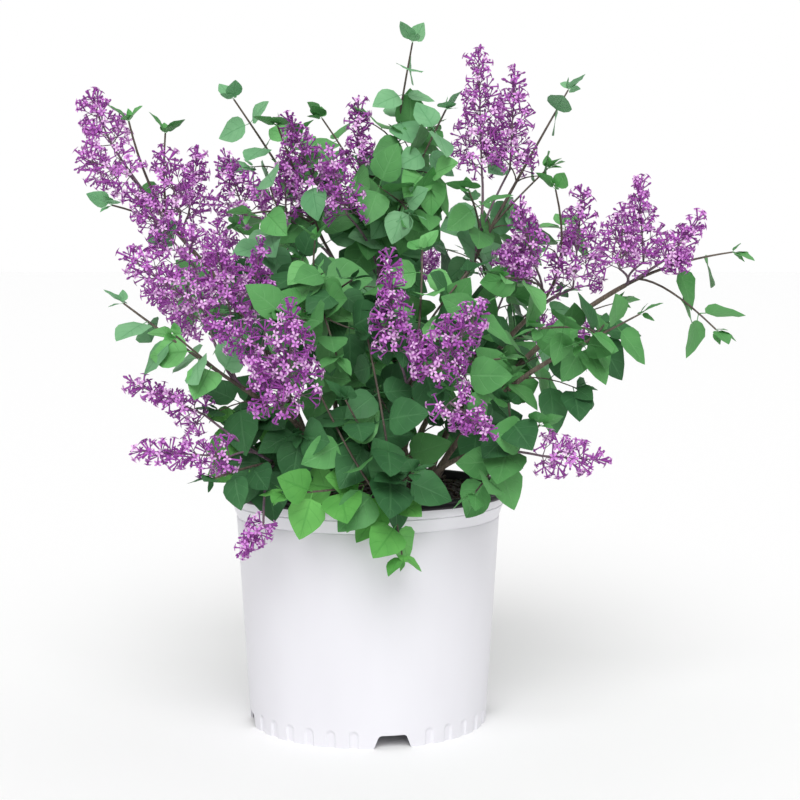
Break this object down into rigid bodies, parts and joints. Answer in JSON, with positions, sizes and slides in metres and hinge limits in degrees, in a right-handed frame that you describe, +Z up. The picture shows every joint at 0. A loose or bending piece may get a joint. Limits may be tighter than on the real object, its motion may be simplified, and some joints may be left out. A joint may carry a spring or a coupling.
{
  "type": "potted flowering shrub",
  "caption": "Dwarf lilac bush in flower, with leafy shoots and purple panicles on slim boughs, in a tapered white nursery pot with a rolled black lip.",
  "frame": {"origin": "on the pot's axis, in the plane it stands on, under the middle of its underside", "axes": "+Z up along the pot's axis, -Y towards the side that is looked at first, +X to that viewer's right"},
  "size_m": [0.6559, 0.4988, 0.6933],
  "materials": {
    "pot_plastic": "smooth moulded, satin, white with a black lip and inside",
    "potting_mix": "loose moist bark mix, dark",
    "bark": "smooth young bark, grey-brown",
    "leaf": "matt leaf green with pale veins",
    "petal": "soft lilac purple, paler inside"
  },
  "bodies": {
    "root": {"pot": "pot_plastic", "soil": "potting_mix", "bough_left_high": "bark", "bough_left": "bark", "bough_left_front": "bark", "bough_low_left": "bark", "bough_whip": "bark", "bough_inner_left": "bark", "bough_top": "bark", "bough_top_right": "bark", "bough_right_high": "bark", "bough_right": "bark", "bough_right_low": "bark", "bough_low_right": "bark", "bough_front": "bark", "bough_front_low": "bark", "bough_back_left": "bark", "bough_back": "bark", "bough_back_right": "bark", "leaves_left_high": "leaf", "leaves_left": "leaf", "leaves_low_left": "leaf", "leaves_whip": "leaf", "leaves_inner_left": "leaf", "leaves_top": "leaf", "leaves_top_right": "leaf", "leaves_right_high": "leaf", "leaves_right": "leaf", "leaves_right_low": "leaf", "leaves_low_right": "leaf", "leaves_front": "leaf", "leaves_front_low": "leaf", "leaves_back_left": "leaf", "leaves_back": "leaf", "leaves_back_right": "leaf", "blossom_left_top": "petal", "blossom_left_crest": "petal", "blossom_left_wide": "petal", "blossom_left_inner": "petal", "blossom_left_front": "petal", "blossom_low_left": "petal", "blossom_rim_left": "petal", "blossom_inner_back": "petal", "blossom_top_left": "petal", "blossom_top_inner": "petal", "blossom_top_right": "petal", "blossom_right_inner": "petal", "blossom_right_high": "petal", "blossom_right_crest": "petal", "blossom_right_tip": "petal", "blossom_front_left": "petal", "blossom_front_right": "petal", "blossom_front_low": "petal", "blossom_low_right": "petal", "blossom_back_left": "petal", "blossom_back": "petal", "blossom_back_right": "petal"}
  },
  "joints": []
}
